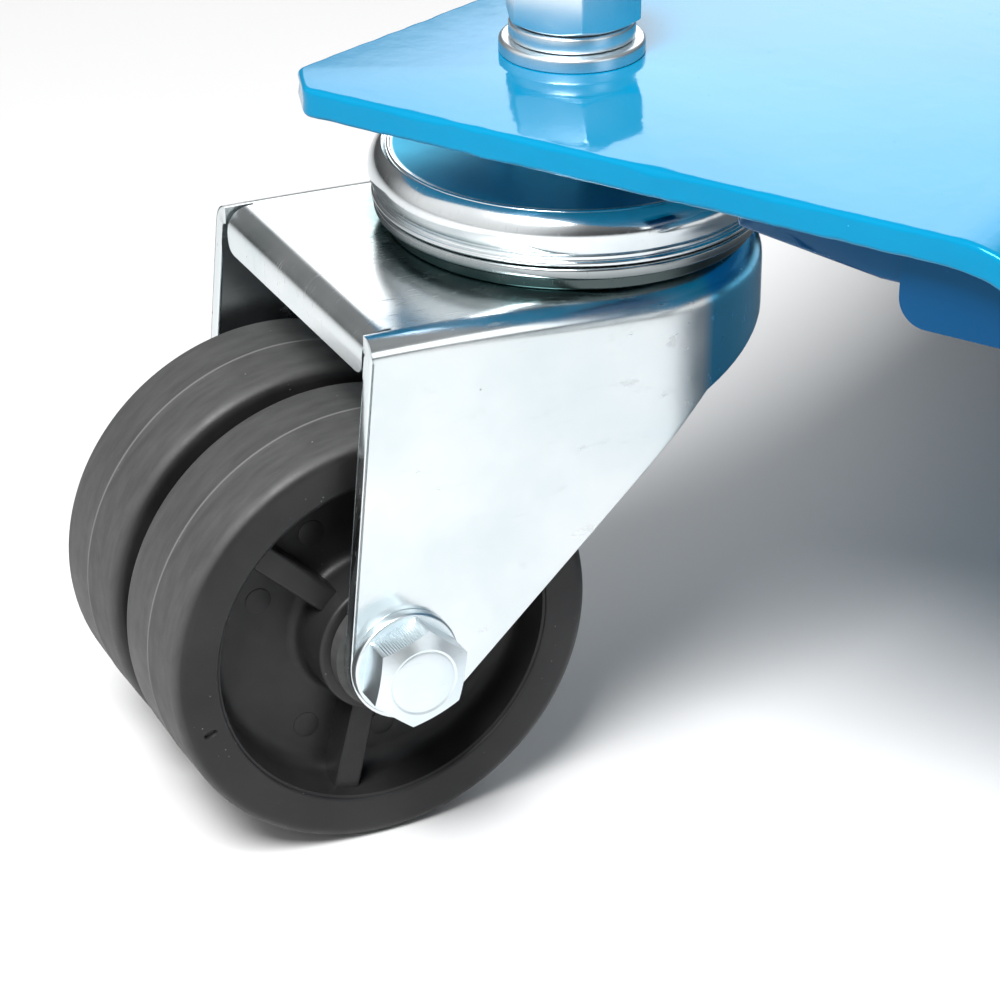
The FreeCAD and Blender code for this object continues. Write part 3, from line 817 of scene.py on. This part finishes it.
def make_kingpin():
    """A kingpin: round head, plain neck, and a helical thread up to a chamfered tip."""
    radius = KINGPIN_RADIUS
    head = KINGPIN_HEAD_RADIUS
    neck_foot = KINGPIN_FOOT + 5
    neck_top = CUP_TOP - 3.05
    thread_foot = CUP_TOP - 2.9
    tip = KINGPIN_TOP - 1.3
    rows = ceil((KINGPIN_TOP - thread_foot) / KINGPIN_PITCH * THREAD_ROWS)
    section = [(0, KINGPIN_FOOT), (head - 1.4, KINGPIN_FOOT), (head, KINGPIN_FOOT + 1.4),
               (head, neck_foot - 0.3), (head - 0.3, neck_foot), (NECK_RADIUS, neck_foot),
               (NECK_RADIUS, neck_top), (radius, neck_top)]
    section += [(radius, z) for z in spread(thread_foot, KINGPIN_TOP, rows)]
    section.append((0, KINGPIN_TOP))

    def shape(r, z, angle):
        if z < thread_foot or r != radius:
            return r, z
        phase = (z / KINGPIN_PITCH - angle / tau) % 1
        tooth = min(1.0, max(0.0, (abs(phase - 0.5) * 2 - 0.1) / 0.8))
        fade = min(1.0, (z - thread_foot) / KINGPIN_PITCH)
        limit = radius - max(0.0, z - tip)
        return min(radius - THREAD_DEPTH * (1 - tooth) * fade, limit), z

    return lathe("kingpin_mesh", section, 64, shape, 50)


# ---- swivel race

RACE_BORE = 20.0
RACE_SEGMENTS = 192
CUP_RIM_RADIUS = 30.6
CUP_BULGE_RADIUS = 4.8
CUP_LID_THICKNESS = 3.0
LOWER_RACE_FOOT_RADIUS = 30.6


def make_cup():
    """The upper cup: a flat lid with a fine rolled rim, a full bulge over the balls and a flared lip."""
    lid = CUP_TOP
    foot = CUP_FOOT
    under_lid = lid - CUP_LID_THICKNESS
    section = [(BORE, lid), (BORE + 9, lid), (BORE + 10.5, lid - 0.2), (CUP_RIM_RADIUS - 1, lid - 0.2)]
    section += arc((CUP_RIM_RADIUS, lid - 0.45), 0.45, 150, -20, 7)
    section += [(CUP_RIM_RADIUS + 0.4, lid - 0.95)]
    section += arc((29.2, foot + 4.75), CUP_BULGE_RADIUS, 58, -42, 22)
    section += [(32.75, foot + 1.25)]
    section += arc((33.05, foot + 0.55), 0.5, 120, -90, 8)
    section += [(CUP_RIM_RADIUS, foot), (RACE_BORE + 0.5, foot), (RACE_BORE, foot + 0.6),
                (RACE_BORE, under_lid), (BORE, under_lid)]
    return lathe("race_cup_mesh", section, RACE_SEGMENTS, None, 32)


def make_lower_race():
    """The lower race: a narrow foot on the fork and a rounded band under the cup's lip."""
    low = FORK_TOP
    high = LOWER_RACE_TOP
    section = [(RACE_BORE, low), (LOWER_RACE_FOOT_RADIUS, low)]
    section += arc((LOWER_RACE_FOOT_RADIUS, low + 0.5), 0.5, -90, 0, 4)
    section += arc((31.5, low + 2.1), 0.4, 180, 100, 3)
    section += arc((32.0, low + 3.55), 1.15, -75, 0, 6)
    section += arc((32.65, high - 0.5), 0.5, 0, 90, 5)
    section += [(RACE_BORE + 0.6, high), (RACE_BORE, high - 0.6)]
    return lathe("lower_race_mesh", section, RACE_SEGMENTS, None, 32)


# ---- fork

FORK_HALF_WIDTH = 32.5
FORK_SHEET = 3.0
FORK_REAR = 51.0
LEG_RAKE = tan(radians(4.9))
LEG_SLOPE = tan(radians(43.7))
LEG_POINT_HEIGHT = 8.2
LEG_FOOT_RADIUS = 11.4
SKIRT_TURN = 9.8
SKIRT_NOSE_HEIGHT = 81.5
LIP_BEND = 4.0
LIP_DROP = 7.5
LIP_HALF_WIDTH = 28.0
LIP_STRIP = 0.4
LIP_COLUMNS = 12
SLIT_END = LIP_BEND - FORK_REAR + 1.0
LIP_BEND_STEPS = 6
LIP_CORNER = 2.5
LIP_CORNER_STEPS = 4
LEG_FRONT_STEPS = 16
NOSE_STEPS = 20
BEND_STEPS = 8
WALL_STEPS = 14
REAR_BEND = 3.4
NOSE_BEND = 6.0
BEND_OPENS_TO = 8
SHEARED_EDGE = 0.5


def leg_rear(z):
    """X of a leg's rear edge at a height: it leans back towards the wheels."""
    return -FORK_REAR - (FORK_TOP - z) * LEG_RAKE


def leg_outline():
    """Lower outline of a leg from its rear edge round the foot and up the front, as (x, z)."""
    point = (leg_rear(LEG_POINT_HEIGHT), LEG_POINT_HEIGHT)
    rear_angle = atan2(1, LEG_RAKE)
    front_angle = atan(LEG_SLOPE)
    half = (rear_angle - front_angle) / 2
    middle = (rear_angle + front_angle) / 2
    reach = LEG_FOOT_RADIUS / sin(half)
    centre = (point[0] + reach * cos(middle), point[1] + reach * sin(middle))
    turn_height = point[1] + (SKIRT_TURN - point[0]) * LEG_SLOPE
    foot = arc(centre, LEG_FOOT_RADIUS, degrees(rear_angle) + 90, degrees(front_angle) + 270, 22)
    return foot, (SKIRT_TURN, turn_height)


def bend_radius(x):
    """The outer bend between top and wall opens out from the rear to the nose."""
    share = min(1.0, max(0.0, (x + FORK_REAR) / (FORK_REAR + BEND_OPENS_TO)))
    return REAR_BEND + (NOSE_BEND - REAR_BEND) * share * share * (3 - 2 * share)


def make_fork_shell():
    """The fork's outer surface as a grid: columns round the plan outline, rows over the bend and down."""
    foot, turn = leg_outline()
    front = zip(spread(foot[-1][0], turn[0], LEG_FRONT_STEPS), spread(foot[-1][1], turn[1], LEG_FRONT_STEPS))
    lower_edge = foot[:-1] + list(front)
    half_columns = [("side", (x - leg_rear(z)) / -leg_rear(z), z) for x, z in lower_edge if x < 0]
    for angle in spread(0, pi / 2, NOSE_STEPS):
        x = FORK_HALF_WIDTH * sin(angle)
        if x < SKIRT_TURN:
            low = turn[1] - (SKIRT_TURN - x) * LEG_SLOPE
        else:
            low = turn[1] + (x - SKIRT_TURN) / (FORK_HALF_WIDTH - SKIRT_TURN) * (SKIRT_NOSE_HEIGHT - turn[1])
        half_columns.append(("nose", angle, low))

    def column(kind, value, low, side):
        """Points of one column, from the top over the bend and down the wall to its lower edge."""
        x_top = -FORK_REAR * (1 - value) if kind == "side" else FORK_HALF_WIDTH * sin(value)
        radius = bend_radius(x_top)
        points = [(radius * (1 - sin(angle)), FORK_TOP - radius * (1 - cos(angle)))
                  for angle in spread(0, pi / 2, BEND_STEPS)]
        points += [(0.0, z) for z in spread(FORK_TOP - radius, low, WALL_STEPS)[1:]]
        placed = []
        for inset, z in points:
            if kind == "side":
                placed.append((leg_rear(z) * (1 - value), side * (FORK_HALF_WIDTH - inset), z))
            else:
                reach = FORK_HALF_WIDTH - inset
                placed.append((reach * sin(value), side * reach * cos(value), z))
        return placed

    columns = [column(kind, value, low, -1) for kind, value, low in half_columns]
    columns += [column(kind, value, low, 1) for kind, value, low in reversed(half_columns[:-1])]
    rows = len(columns[0])
    verts = [point for line in columns for point in line]
    faces = grid_faces(len(columns), rows)
    cap = [line[0] for line in columns]
    edge_y = abs(columns[0][0][1])
    across = spread(LIP_HALF_WIDTH, -LIP_HALF_WIDTH, LIP_COLUMNS)
    rear = [(-FORK_REAR, edge_y - LIP_STRIP), (SLIT_END, edge_y - LIP_STRIP), (SLIT_END, LIP_HALF_WIDTH)]
    cap += [(x, y, FORK_TOP) for x, y in rear]
    cap += [(LIP_BEND - FORK_REAR, y, FORK_TOP) for y in across]
    cap += [(x, -y, FORK_TOP) for x, y in reversed(rear)]
    faces.append(tuple(range(len(verts), len(verts) + len(cap))))
    verts += cap
    lip_rows = []
    for angle in spread(0, pi / 2, LIP_BEND_STEPS):
        lip_rows.append((-FORK_REAR + LIP_BEND * (1 - sin(angle)), FORK_TOP - LIP_BEND * (1 - cos(angle)), 0))
    for angle in spread(0, pi / 2, LIP_CORNER_STEPS):
        lip_rows.append((-FORK_REAR, FORK_TOP - LIP_DROP + LIP_CORNER * (1 - sin(angle)),
                         LIP_CORNER * (1 - cos(angle))))
    base = len(verts)
    for x, z, inset in lip_rows:
        verts += [(x, y * (LIP_HALF_WIDTH - inset) / LIP_HALF_WIDTH, z) for y in across]
    faces += [tuple(base + corner for corner in face) for face in grid_faces(len(lip_rows), len(across))]
    shell = make_object("fork_mesh", verts, faces, 50)
    solid = shell.modifiers.new("sheet", "SOLIDIFY")
    solid.thickness = FORK_SHEET * MM
    solid.offset = -1
    solid.use_even_offset = True
    return apply_modifiers(shell, 50)


def make_fork():
    """The pressed fork, bored for the kingpin's neck and the axle."""
    fork = make_fork_shell()
    kingpin_drill = drill_bit(NECK_RADIUS + 0.05, low=80, high=110, segments=64)
    axle_drill = drill_bit(AXLE_BORE, low=-60, high=60, segments=48)
    axle_drill.matrix_world = axle_matrix(0)
    boolean(fork, [kingpin_drill, axle_drill], "DIFFERENCE", 40)
    return round_sheared_edges(fork, SHEARED_EDGE)


def round_sheared_edges(fork, width):
    """Round the fork's cut edges, apart from those of the two slits beside the lip."""
    edit = bmesh.new()
    edit.from_mesh(fork.data)
    chosen = []
    for edge in edit.edges:
        middle = (edge.verts[0].co + edge.verts[1].co) / 2 / MM
        by_slit = (middle.x < SLIT_END + 2 and abs(middle.y) < LIP_HALF_WIDTH + 1.6
                   and middle.z > FORK_TOP - LIP_DROP - 1.5)
        if len(edge.link_faces) == 2 and edge.calc_face_angle() > radians(55) and not by_slit:
            chosen.append(edge)
    bmesh.ops.bevel(edit, geom=chosen, offset=width * MM, segments=3, profile=0.5, affect="EDGES",
                    clamp_overlap=False)
    edit.to_mesh(fork.data)
    edit.free()
    tidy_normals(fork, 40)
    return fork


def axle_matrix(along):
    """From a piece turned about Z to the axle, in the castor's own frame; Z becomes Y."""
    place = Matrix.Translation((-TRAIL * MM, along * MM, AXLE_HEIGHT * MM))
    return place @ Matrix.Rotation(-pi / 2, 4, "X")


# ---- wheel

AXLE_SEAT = FORK_HALF_WIDTH + AXLE_WASHER_THICKNESS
WHEEL_HALF_WIDTH = 11.8
WHEEL_OFFSET = 14.15
WHEEL_SEGMENTS = 192
HUB_HALF_WIDTH = 12.75
HUB_BORE = 7.0
HUB_RADIUS = 11.6
TREAD_SHOULDER = 2.4
RIB_COUNT = 3
RIB_INNER = 10
RIB_OUTER = 29.6
RIB_HALF_HEIGHT = 9.2
PAD_CIRCLE = 20.8
PAD_TURNS = (-40, 40)
PAD_SECTION = ((0, 2.0), (2.4, 2.0), (2.25, 3.6), (2.0, 3.66), (0, 3.68))
NICK_CIRCLE = 32.9
NICK_SECTION = ((0, -0.8), (0.5, -0.5), (0.7, 0.1), (0.5, 0.6), (0, 0.9))
NICK_STRETCH = 1.9
NEAR_WHEEL_TURN = radians(-17)
FAR_WHEEL_TURN = radians(-41)


def make_wheel():
    """A moulded wheel: crowned tread with a parting line, dished web, hub boss, three ribs a side."""
    half = WHEEL_HALF_WIDTH
    section = [(HUB_BORE, HUB_HALF_WIDTH - 0.5), (HUB_BORE + 0.5, HUB_HALF_WIDTH),
               (HUB_RADIUS, HUB_HALF_WIDTH)]
    section += arc((HUB_RADIUS, HUB_HALF_WIDTH - 0.7), 0.7, 90, 0, 4)
    section += arc((14.6, 5.7), 2.2, 180, 270, 5)
    section += arc((24.9, 6.9), 3.4, 270, 352, 10)
    section += [(29.2, half - 0.7)]
    section += arc((30.2, half - 0.6), 0.6, 170, 90, 4)
    section += [(33.6, half)]
    section += arc((WHEEL_RADIUS - 0.15 - TREAD_SHOULDER, half - TREAD_SHOULDER), TREAD_SHOULDER, 90, 8, 9)
    section += [(WHEEL_RADIUS - 0.10, 4.0), (WHEEL_RADIUS - 0.06, 0.30), (WHEEL_RADIUS, 0.12)]
    mirrored = [(radius, -height) for radius, height in reversed(section)]
    wheel = lathe("wheel_mesh", section + mirrored, WHEEL_SEGMENTS, None, 28)
    ribs = []
    for number in range(RIB_COUNT):
        plan = [(RIB_INNER, -2.1), (RIB_OUTER, -2.35), (RIB_OUTER, 2.35), (RIB_INNER, 2.1)]
        spoke = prism("rib", plan, -RIB_HALF_HEIGHT, RIB_HALF_HEIGHT)
        bevelled(spoke, 0.6, 3, 40)
        spoke.data.transform(Matrix.Rotation(tau * number / RIB_COUNT, 4, "Z"))
        ribs.append(spoke)
    for number in range(RIB_COUNT):
        for turn in PAD_TURNS:
            for face in (-1, 1):
                angle = radians(120 * number + 60 + turn)
                pad = lathe("pad", PAD_SECTION, 24)
                flip = UPSIDE_DOWN if face < 0 else Matrix.Identity(4)
                place = (PAD_CIRCLE * MM * cos(angle), PAD_CIRCLE * MM * sin(angle), 0)
                pad.data.transform(Matrix.Translation(place) @ flip)
                ribs.append(pad)
    boolean(wheel, ribs, "UNION", 28)
    nicks = []
    for face in (-1, 1):
        nick = lathe("nick", NICK_SECTION, 16)
        stretch = Matrix.Diagonal((NICK_STRETCH, 1.0, 1.0, 1.0))
        nick.data.transform(Matrix.Translation((-NICK_CIRCLE * MM, 0, face * half * MM)) @ stretch)
        nicks.append(nick)
    return boolean(wheel, nicks, "DIFFERENCE", 28)


# ---- assembly

deck_paint = make_paint("deck_paint", *DECK_BLUE)
# The rails get a darker copy of the deck paint: painted shade under the deck's edge.
rail_shaded_paint = make_paint("rail_shaded_paint", *RAIL_SHADED_BLUE)
fork_zinc = make_zinc("fork_zinc", *FORK_ZINC, fork_painted_shade_and_reflection)
cup_zinc = make_zinc("cup_zinc", *CUP_ZINC, cup_painted_reflection)
lower_race_zinc = make_zinc("lower_race_zinc", *LOWER_RACE_ZINC, lower_race_painted_shade)
fastener_zinc = make_zinc("fastener_zinc", *FASTENER_ZINC)
wheel_plastic = make_wheel_plastic()
nylon = make_nylon()
ball_steel = make_ball_steel()

install(make_deck(), "deck", deck_paint, "deck_plate")
install(make_rail("front_rail", -1), "deck", rail_shaded_paint, "front_side_rail")
install(make_rail("rear_rail", 1), "deck", rail_shaded_paint, "rear_side_rail")


def stack_on_kingpins():
    """Make the pieces that stand still round a kingpin, and put a set of them on each of the four."""
    clamp_nut = hex_solid("clamp_nut_mesh", NUT_FLATS, CLAMP_NUT_HEIGHT, BORE, (1, 1))
    clamp_washer = washer("clamp_washer_mesh", outer=14, inner=BORE, thickness=2.9)
    flat_washer = washer("flat_washer_mesh", outer=12.15, inner=BORE, thickness=FLAT_WASHER_TOP - DECK_TOP,
                         edge=0.4)
    split_washer = spring_washer("spring_washer_mesh", outer=10.55, inner=BORE + 0.1, thickness=2.75,
                                 gap=1.5, rise=0.25)
    nut = hex_solid("kingpin_nut_mesh", NUT_FLATS, NUT_TOP - SPRING_WASHER_TOP, BORE, (1, 1))
    steel = (fastener_zinc, "fastener_steel")
    pieces = {
        "kingpin": (make_kingpin(), 0, *steel, "kingpins"),
        "race_cup": (make_cup(), 0, cup_zinc, "zinc_plate", "upper_race_cups"),
        "clamp_nut": (clamp_nut, CUP_TOP, *steel, "clamp_nuts"),
        "clamp_washer": (clamp_washer, CUP_TOP + CLAMP_NUT_HEIGHT, *steel, "clamp_washers"),
        "flat_washer": (flat_washer, DECK_TOP, *steel, "flat_washers"),
        "spring_washer": (split_washer, FLAT_WASHER_TOP + 0.12, *steel, "spring_washers"),
        "kingpin_nut": (nut, SPRING_WASHER_TOP, *steel, "kingpin_nuts"),
    }
    for label, (pattern, height, *finish) in pieces.items():
        turn = Matrix.Rotation(NUT_TURN if "nut" in label else SPLIT_TURN, 4, "Z")
        install_at_corners(pattern, label, lambda corner: kingpin_matrix(corner, height) @ turn,
                           "deck", *finish)


def make_axle_bolt():
    """The axle bolt along Z: head against the near washer, and a shank that passes the far nut."""
    head = hex_solid("axle_bolt_mesh", AXLE_FLATS, AXLE_HEAD_HEIGHT, 0, (0, 1), 0.78, 22, True)
    tip = AXLE_SEAT * 2 + AXLE_PAST_SEAT
    section = [(0, 0), (AXLE_RADIUS, 0), (AXLE_RADIUS, tip - 0.9), (AXLE_RADIUS - 0.9, tip), (0, tip)]
    shank = lathe("axle_shank", section, 64)
    shank.data.transform(raised(-AXLE_SEAT))
    head.data.transform(raised(-AXLE_SEAT) @ UPSIDE_DOWN @ Matrix.Rotation(AXLE_HEAD_TURN, 4, "Z"))
    return boolean(head, [shank], "UNION", 30)


def make_axle_washers():
    """The two washers on the outside of the legs, under the axle bolt's head and its nut."""
    washers = washer("axle_washer_mesh", outer=9.2, inner=AXLE_BORE, thickness=AXLE_WASHER_THICKNESS)
    near = washers.data.copy()
    washers.data.transform(raised(FORK_HALF_WIDTH))
    near.transform(raised(-FORK_HALF_WIDTH) @ UPSIDE_DOWN)
    edit = bmesh.new()
    edit.from_mesh(washers.data)
    edit.from_mesh(near)
    edit.to_mesh(washers.data)
    edit.free()
    return washers


def place_castors():
    """Make the pieces of one castor in its own frame, and put a set of them at each of the four corners."""
    nut = hex_solid("axle_nut_mesh", AXLE_FLATS, AXLE_NUT_HEIGHT, AXLE_BORE, (0, 1))
    nut.data.transform(raised(AXLE_SEAT))
    axle = axle_matrix(0)
    stay = Matrix.Identity(4)
    wheel = make_wheel()
    far_wheel = add_object("far_wheel_mesh", wheel.data.copy())
    wheel.data.transform(Matrix.Rotation(NEAR_WHEEL_TURN, 4, "Z"))
    far_wheel.data.transform(Matrix.Rotation(FAR_WHEEL_TURN, 4, "Z"))
    castor = "castor_{corner}"
    steel = (fastener_zinc, "fastener_steel")
    plastic = (wheel_plastic, "wheel_plastic")
    pieces = {
        "fork": (make_fork(), stay, castor, fork_zinc, "zinc_plate"),
        "lower_race": (make_lower_race(), stay, castor, lower_race_zinc, "zinc_plate"),
        "axle_bolt": (make_axle_bolt(), axle, castor, *steel),
        "axle_nut": (nut, axle, castor, *steel),
        "axle_washers": (make_axle_washers(), axle, castor, *steel),
        "near_wheel": (wheel, axle_matrix(-WHEEL_OFFSET), "near_wheel_{corner}", *plastic),
        "far_wheel": (far_wheel, axle_matrix(WHEEL_OFFSET), "far_wheel_{corner}", *plastic),
    }
    for node, (pattern, local, body, material, slot) in pieces.items():
        install_at_corners(pattern, f"{node}_piece", lambda corner: castor_matrix(corner) @ local,
                           body, material, slot, node + "_{corner}")


def finish_cad_pieces():
    """Give the CAD pieces that stay as they are their materials."""
    for corner in CORNERS:
        for node, material in (("race_balls", ball_steel), ("thrust_washers", wheel_plastic),
                               ("near_bush", nylon), ("far_bush", nylon)):
            data = frame["nodes"][f"{node}_{corner}"].data
            data.materials.clear()
            data.materials.append(material)


stack_on_kingpins()
place_castors()
finish_cad_pieces()


# ---- stage, light and camera

FLOOR_GREY = ((0.55, 0.55, 0.55), (0.57, 0.57, 0.57))
FLOOR_REACH = 6000
AMBIENT = 0.05
# Overhead, behind the deck and in front: (direction, degrees to its edge, degrees to its full core,
# brightness).
SKY_PATCHES = (((0, 0, 1), 100, 20, 0.25), ((-0.33, 0.82, 0.48), 24, 5, 3.2),
               ((-0.45, -0.82, 0.35), 65, 25, 0.75))
LIGHT_TARGET = (-0.15, -0.12, 0.06)
SOFTBOX_SIZE = 0.6
CAMERA_FROM_KINGPIN = (0.2830, -0.4747)
CAMERA_HEIGHT = 0.3277
CAMERA_PITCH = radians(27.42)
CAMERA_HEADING = radians(122.03)


def make_stage():
    """A plain pale floor."""
    paper = Shader("studio_floor")
    corners = [(x * FLOOR_REACH, y * FLOOR_REACH, 0) for x, y in ((-1, -1), (1, -1), (1, 1), (-1, 1))]
    floor = make_object("studio_floor", corners, [(0, 1, 2, 3)])
    floor.data.materials.append(paper.finish(paper.mix(paper.noise(3), *FLOOR_GREY), 0.6))


def area_light(name, place, power):
    """A square softbox at a place, turned to the front left castor."""
    data = bpy.data.lights.new(name, "AREA")
    data.shape = "RECTANGLE"
    data.size = SOFTBOX_SIZE
    data.size_y = SOFTBOX_SIZE
    data.energy = power
    item = add_object(name, data)
    item.location = place
    item.rotation_euler = (Vector(LIGHT_TARGET) - Vector(place)).to_track_quat("-Z", "Y").to_euler()


def make_world():
    """A soft studio all round: dim at the sides and brighter in a few patches of sky."""
    world = bpy.data.worlds.new("studio")
    bpy.context.scene.world = world
    world.use_nodes = True
    sky = Nodes(world.node_tree)
    direction = sky.add("ShaderNodeTexCoord").outputs["Generated"]
    strength = AMBIENT
    for towards, edge, core, brightness in SKY_PATCHES:
        nearness = sky.vector("DOT_PRODUCT", direction, Vector(towards).normalized(), "Value")
        low, high = cos(radians(edge)), cos(radians(core))
        patch = sky.ramp(nearness, low, high, 0.0, brightness, "SMOOTHSTEP")
        strength = sky.maths("ADD", patch, strength)
    background = sky.tree.nodes["Background"]
    sky.set(background.inputs["Color"], (1, 1, 1, 1))
    sky.set(background.inputs["Strength"], strength)


def make_camera():
    """A long lens that looks down past the deck's corner at the front left castor."""
    kingpin = castor_axes("front_left")[0]
    data = bpy.data.cameras.new("camera")
    data.sensor_width = 36
    data.lens = 127.66
    data.clip_start = 0.01
    data.clip_end = 100
    item = add_object("camera", data)
    item.location = kingpin + Vector((*CAMERA_FROM_KINGPIN, CAMERA_HEIGHT - kingpin.z))
    level = cos(CAMERA_PITCH)
    direction = Vector((cos(CAMERA_HEADING) * level, sin(CAMERA_HEADING) * level, -sin(CAMERA_PITCH)))
    item.rotation_euler = direction.to_track_quat("-Z", "Y").to_euler()
    bpy.context.scene.camera = item


make_stage()
make_world()
area_light("key_softbox", place=(0.0, -0.98, 1.32), power=50)
area_light("side_softbox", place=(1.15, -0.30, 0.55), power=2)
make_camera()
bpy.context.scene.view_settings.view_transform = "Standard"
